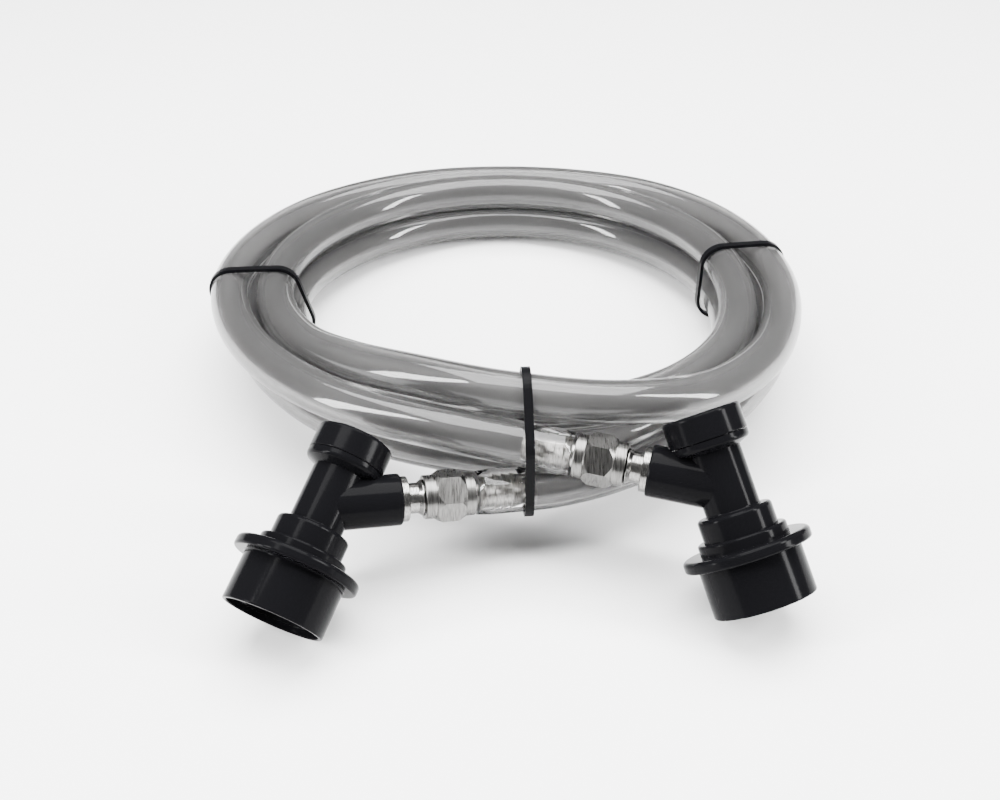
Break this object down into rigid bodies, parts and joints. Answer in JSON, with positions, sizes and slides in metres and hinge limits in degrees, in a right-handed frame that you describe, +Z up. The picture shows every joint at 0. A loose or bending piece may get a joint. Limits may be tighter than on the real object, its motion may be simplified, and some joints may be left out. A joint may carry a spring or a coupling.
{
  "type": "keg jumper hose",
  "caption": "Coiled clear transfer hose held by cable ties, with a ball-lock keg disconnect on a flare swivel fitting at each end.",
  "frame": {"origin": "centre of the bounding box on the surface the object lies on", "axes": "+Z up, +X to the right, +Y away from the two disconnects towards the back of the coil"},
  "size_m": [0.2259, 0.2844, 0.0617],
  "materials": {
    "clear_pvc": "clear flexible vinyl",
    "tie_nylon": "satin black nylon",
    "black_plastic": "glossy moulded black",
    "seal_rubber": "smooth rubber",
    "white_plastic": "satin white acetal",
    "spring_steel": "drawn wire",
    "ball_steel": "polished",
    "fitting_steel": "turned stainless",
    "nut_steel": "brushed flats, turned collars",
    "washer_nylon": "natural nylon"
  },
  "bodies": {
    "coil": {"hose": "clear_pvc", "front_tie": "tie_nylon", "left_tie": "tie_nylon", "right_tie": "tie_nylon", "left_hose_barb": "fitting_steel", "right_hose_barb": "fitting_steel"},
    "left_coupling": {"left_flare_washer": "washer_nylon"},
    "left_nut": {"left_swivel_nut": "nut_steel"},
    "left_disconnect": {"left_disconnect_body": "black_plastic", "left_top_cap": "black_plastic", "left_cap_oring": "seal_rubber", "left_flare_stem": "fitting_steel", "left_valve_spring": "spring_steel", "left_collar_spring": "spring_steel", "left_locking_balls": "ball_steel", "left_retaining_ring": "spring_steel"},
    "left_collar": {"left_locking_collar": "black_plastic"},
    "left_valve": {"left_valve_stem": "white_plastic", "left_valve_seal": "seal_rubber"},
    "right_coupling": {"right_flare_washer": "washer_nylon"},
    "right_nut": {"right_swivel_nut": "nut_steel"},
    "right_disconnect": {"right_disconnect_body": "black_plastic", "right_top_cap": "black_plastic", "right_cap_oring": "seal_rubber", "right_flare_stem": "fitting_steel", "right_valve_spring": "spring_steel", "right_collar_spring": "spring_steel", "right_locking_balls": "ball_steel", "right_retaining_ring": "spring_steel"},
    "right_collar": {"right_locking_collar": "black_plastic"},
    "right_valve": {"right_valve_stem": "white_plastic", "right_valve_seal": "seal_rubber"}
  },
  "joints": [
    {"name": "left_swivel", "type": "hinge", "parent": "coil", "child": "left_coupling", "pos_m": [-0.017, -0.09369, 0.02686], "axis": [-0.9619, -0.2488, 0.1132], "range_deg": [0, 180]},
    {"name": "left_nut_turn", "type": "hinge", "parent": "coil", "child": "left_nut", "pos_m": [-0.01781, -0.0939, 0.02695], "axis": [0.9619, 0.2488, -0.1132], "range_deg": [0, 1801]},
    {"name": "left_unscrew", "type": "slide", "parent": "left_coupling", "child": "left_disconnect", "axis": [-0.9619, -0.2488, 0.1132], "range_m": [0, 0.00635]},
    {"name": "left_collar_lift", "type": "slide", "parent": "left_disconnect", "child": "left_collar", "axis": [0.3685, 0.8002, 0.4731], "range_m": [0, 0.0046], "stiffness_N_per_m": 1200, "springref_m": -0.006, "deforming": ["left_collar_spring"]},
    {"name": "left_valve_press", "type": "slide", "parent": "left_disconnect", "child": "left_valve", "axis": [0.3685, 0.8002, 0.4731], "range_m": [0, 0.0035], "stiffness_N_per_m": 350, "springref_m": -0.015, "deforming": ["left_valve_spring"]},
    {"name": "right_swivel", "type": "hinge", "parent": "coil", "child": "right_coupling", "pos_m": [0.02832, -0.09097, 0.03894], "axis": [0.965, -0.2586, -0.0436], "range_deg": [-180, 0]},
    {"name": "right_nut_turn", "type": "hinge", "parent": "coil", "child": "right_nut", "pos_m": [0.02914, -0.09119, 0.0389], "axis": [-0.965, 0.2586, 0.0436], "range_deg": [0, 1801]},
    {"name": "right_unscrew", "type": "slide", "parent": "right_coupling", "child": "right_disconnect", "axis": [0.965, -0.2586, -0.0436], "range_m": [0, 0.00635]},
    {"name": "right_collar_lift", "type": "slide", "parent": "right_disconnect", "child": "right_collar", "axis": [-0.3185, 0.6249, 0.7128], "range_m": [0, 0.0046], "stiffness_N_per_m": 1200, "springref_m": -0.006, "deforming": ["right_collar_spring"]},
    {"name": "right_valve_press", "type": "slide", "parent": "right_disconnect", "child": "right_valve", "axis": [-0.3185, 0.6249, 0.7128], "range_m": [0, 0.0035], "stiffness_N_per_m": 350, "springref_m": -0.015, "deforming": ["right_valve_spring"]}
  ],
  "couplings": [
    {"joint": "left_nut_turn", "follows": "left_unscrew", "rad_per_m": 4947.4},
    {"joint": "right_nut_turn", "follows": "right_unscrew", "rad_per_m": 4947.4}
  ]
}
